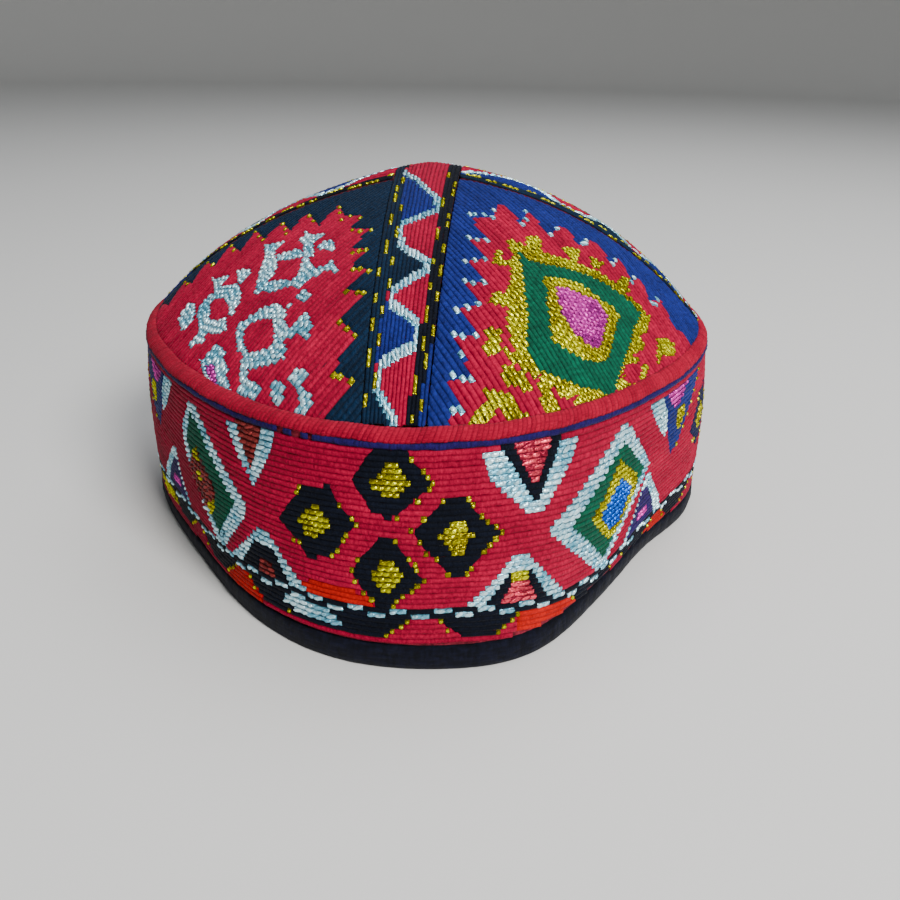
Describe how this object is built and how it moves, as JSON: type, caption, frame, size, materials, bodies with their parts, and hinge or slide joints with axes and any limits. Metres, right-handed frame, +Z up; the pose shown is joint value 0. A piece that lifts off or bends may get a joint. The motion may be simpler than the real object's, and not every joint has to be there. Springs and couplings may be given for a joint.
{
  "type": "tubeteika skullcap",
  "caption": "Embroidered cloth skullcap: upright side band, padded roll and a peaked panelled crown with ridge strips, open underneath for the head.",
  "frame": {"origin": "centre of the cap's open underside, on the surface that it rests on", "axes": "+Z up through the apex, -Y towards the front ridge strip, +X towards the right ridge strip"},
  "size_m": [0.1815, 0.1996, 0.1027],
  "materials": {
    "band_embroidery": "ribbed crimson embroidery",
    "binding_cotton": "matte black cotton",
    "roll_floss": "overcast red floss",
    "gore_teal": "ribbed dark teal embroidery",
    "gore_blue": "ribbed navy embroidery",
    "strip_embroidery": "ribbed embroidery with metallic thread"
  },
  "bodies": {
    "root": {"side_band": "band_embroidery", "hem_binding": "binding_cotton", "seam_roll": "roll_floss", "gore_front_left": "gore_teal", "gore_front_right": "gore_blue", "gore_back_left": "gore_blue", "gore_back_right": "gore_teal", "strip_front_back": "strip_embroidery", "strip_left": "strip_embroidery", "strip_right": "strip_embroidery"}
  },
  "joints": []
}
